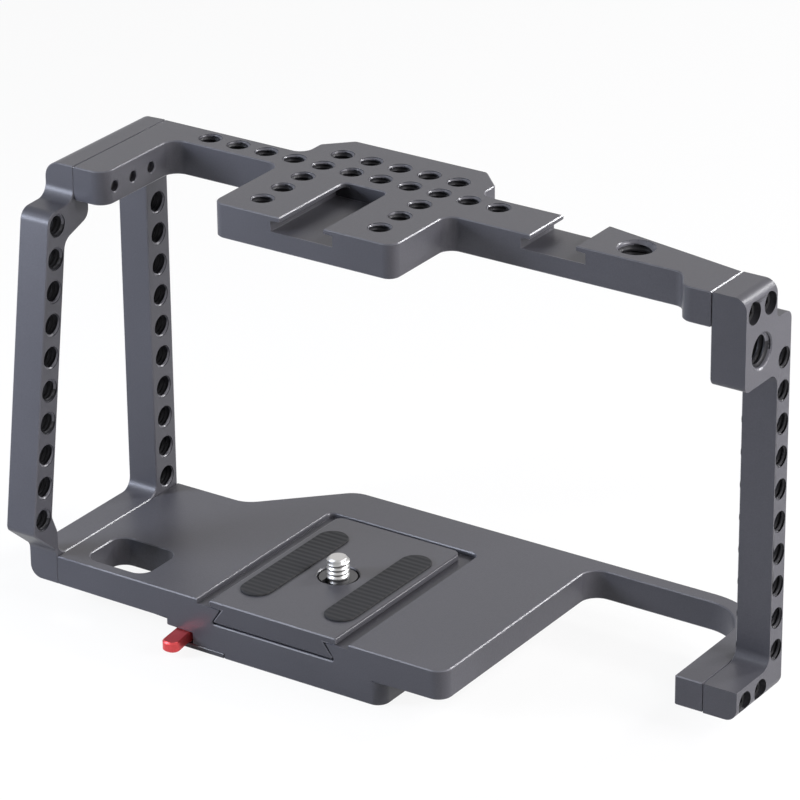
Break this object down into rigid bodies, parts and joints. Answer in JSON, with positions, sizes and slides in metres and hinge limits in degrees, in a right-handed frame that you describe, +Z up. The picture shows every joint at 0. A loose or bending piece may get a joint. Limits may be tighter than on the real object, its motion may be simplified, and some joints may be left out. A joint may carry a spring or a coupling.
{
  "type": "camera cage",
  "caption": "Open metal cage that screws round a compact cinema camera, with threaded mounting holes, two cold shoes and a lever-locked dovetail quick-release plate.",
  "frame": {"origin": "on the resting plane, under the middle of the box around the cage", "axes": "+Z up, +Y towards the lens, +X to the right of the operator behind the camera; the cage is widest along X"},
  "size_m": [0.202, 0.086, 0.1236],
  "materials": {
    "anodised": "fine bead blasted, black anodised",
    "anodised_plate": "machined, black anodised",
    "rubber": "matt rubber",
    "steel": "turned stainless steel",
    "black_steel": "black oxide",
    "red": "red anodised"
  },
  "bodies": {
    "cage": {"top_plate": "anodised", "left_bracket": "anodised", "right_bracket": "anodised", "base_plate": "anodised", "lever_pivot_pin": "steel", "lever_washer": "steel", "lever_cover": "anodised_plate", "lever_cover_screw_1": "black_steel", "lever_cover_screw_2": "black_steel", "top_left_screw_1": "black_steel", "top_left_screw_2": "black_steel", "top_left_screw_3": "black_steel", "base_left_screw_1": "black_steel", "base_left_screw_2": "black_steel", "top_right_screw_1": "black_steel", "top_right_screw_2": "black_steel", "base_right_screw_1": "black_steel", "base_right_screw_2": "black_steel"},
    "release": {"release_plate": "anodised_plate", "release_pad_left": "rubber", "release_pad_right": "rubber"},
    "screw": {"camera_screw": "steel", "camera_screw_clip": "black_steel"},
    "ring": {"camera_screw_ring": "steel"},
    "lever": {"lock_lever": "red"},
    "jaw": {"lock_jaw": "steel"}
  },
  "joints": [
    {"name": "release_slide", "type": "slide", "parent": "cage", "child": "release", "axis": [0, -1, 0], "range_m": [0, 0.06]},
    {"name": "jaw_slide", "type": "slide", "parent": "cage", "child": "jaw", "axis": [-1, 0, 0], "range_m": [0, 0.00067619]},
    {"name": "lever_swing", "type": "hinge", "parent": "cage", "child": "lever", "pos_m": [-0.046, -0.0195, 0.0033], "axis": [0, 0, -1], "range_deg": [0, 50.1]},
    {"name": "screw_turn", "type": "hinge", "parent": "release", "child": "screw", "pos_m": [-0.02075, -0.003, 0.012], "axis": [0, 0, 1], "continuous": true},
    {"name": "ring_fold", "type": "hinge", "parent": "screw", "child": "ring", "pos_m": [-0.02075, -0.003, 0.01165], "axis": [1, 0, 0], "range_deg": [0, 90]}
  ],
  "couplings": [
    {"joint": "lever_swing", "follows": "jaw_slide", "rad_per_m": 1290.6}
  ]
}
